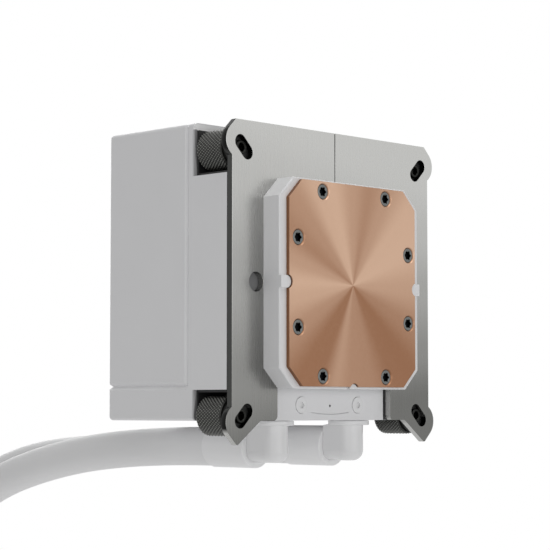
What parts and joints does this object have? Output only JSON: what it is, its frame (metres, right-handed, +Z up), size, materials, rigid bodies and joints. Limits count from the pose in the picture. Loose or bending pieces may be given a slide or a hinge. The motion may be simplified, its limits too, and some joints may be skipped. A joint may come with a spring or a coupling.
{
  "type": "liquid cooler pump head",
  "caption": "Square white pump head of a liquid cooler with an octagonal copper cold plate, slotted steel bracket, knurled thumb nuts, swivel elbows and hoses.",
  "frame": {"origin": "middle of the four stud places, on the bracket's outer face", "axes": "-Y towards the processor, +Y towards the display, +Z up with the hose elbows at the bottom, +X to the right seen from the copper side"},
  "size_m": [0.0908, 0.2707, 0.3698],
  "materials": {
    "copper": "copper, turned face",
    "bracket_steel": "brushed",
    "screw_steel": "plain",
    "dark_steel": "black, knurled grip",
    "shaft_steel": "ground",
    "white_housing": "satin white",
    "white_fitting": "satin white",
    "ferrule": "white coated",
    "black_liner": "black",
    "seal_rubber": "plain",
    "hose": "light sleeve",
    "plastic_dark": "plain",
    "plastic_natural": "plain",
    "magnet": "sintered",
    "bush": "ground",
    "core_steel": "laminated",
    "coil_wire": "enamelled copper",
    "board": "green laminate",
    "board_parts": "plain",
    "display_glass": "dark, switched off",
    "display_panel": "plain"
  },
  "bodies": {
    "pump_head": {"cold_plate": "copper", "cold_plate_screws": "screw_steel", "cold_plate_gasket": "seal_rubber", "jet_plate": "plastic_natural", "pump_base": "white_housing", "nut_well_liners": "black_liner", "bracket_left": "bracket_steel", "bracket_right": "bracket_steel", "nut_washers": "black_liner", "chamber_lid": "plastic_natural", "lid_screws": "screw_steel", "lid_seal": "seal_rubber", "impeller_shaft": "shaft_steel", "shaft_cap": "bush", "stator_core": "core_steel", "stator_coils": "coil_wire", "control_board": "board", "board_components": "board_parts", "board_screws": "screw_steel", "cable_socket": "plastic_dark", "display_cover": "white_housing", "display_glass": "display_glass", "display_panel": "display_panel", "display_carrier": "plastic_dark", "port_retainer": "white_housing", "port_retainer_screws": "white_fitting"},
    "impeller": {"impeller": "plastic_natural", "rotor_magnet": "magnet", "impeller_bush": "bush"},
    "nut_upper_left": {"thumb_nut_upper_left": "dark_steel"},
    "nut_upper_right": {"thumb_nut_upper_right": "dark_steel"},
    "nut_lower_left": {"thumb_nut_lower_left": "dark_steel"},
    "nut_lower_right": {"thumb_nut_lower_right": "dark_steel"},
    "elbow_left": {"elbow_left": "white_fitting", "neck_seals_left": "seal_rubber", "ferrule_left": "ferrule", "hose_left": "hose", "end_ferrule_left": "ferrule", "end_fitting_left": "white_fitting"},
    "swivel_left": {"end_swivel_left": "white_fitting", "end_seal_left": "seal_rubber"},
    "elbow_right": {"elbow_right": "white_fitting", "neck_seals_right": "seal_rubber", "ferrule_right": "ferrule", "hose_right": "hose", "end_ferrule_right": "ferrule", "end_fitting_right": "white_fitting"},
    "swivel_right": {"end_swivel_right": "white_fitting", "end_seal_right": "seal_rubber"}
  },
  "joints": [
    {"name": "impeller_spin", "type": "hinge", "parent": "pump_head", "child": "impeller", "pos_m": [0, 0.0095, 0], "axis": [0, 1, 0], "continuous": true},
    {"name": "upper_left_nut_turn", "type": "hinge", "parent": "pump_head", "child": "nut_upper_left", "pos_m": [-0.03825, 0.008, 0.03825], "axis": [0, 1, 0], "continuous": true},
    {"name": "upper_right_nut_turn", "type": "hinge", "parent": "pump_head", "child": "nut_upper_right", "pos_m": [0.03825, 0.008, 0.03825], "axis": [0, 1, 0], "continuous": true},
    {"name": "lower_left_nut_turn", "type": "hinge", "parent": "pump_head", "child": "nut_lower_left", "pos_m": [-0.03825, 0.008, -0.03825], "axis": [0, 1, 0], "continuous": true},
    {"name": "lower_right_nut_turn", "type": "hinge", "parent": "pump_head", "child": "nut_lower_right", "pos_m": [0.03825, 0.008, -0.03825], "axis": [0, 1, 0], "continuous": true},
    {"name": "left_elbow_swivel", "type": "hinge", "parent": "pump_head", "child": "elbow_left", "pos_m": [-0.01657, 0.00988, -0.03975], "axis": [0, 0, 1], "range_deg": [0, 45]},
    {"name": "right_elbow_swivel", "type": "hinge", "parent": "pump_head", "child": "elbow_right", "pos_m": [0.01657, 0.00988, -0.03975], "axis": [0, 0, 1], "range_deg": [-45, 0]},
    {"name": "left_end_swivel_turn", "type": "hinge", "parent": "elbow_left", "child": "swivel_left", "pos_m": [-0.01897, 0.2115, -0.31495], "axis": [0, 0, -1], "continuous": true},
    {"name": "right_end_swivel_turn", "type": "hinge", "parent": "elbow_right", "child": "swivel_right", "pos_m": [0.01857, 0.2545, -0.27695], "axis": [0, 0, -1], "continuous": true}
  ]
}
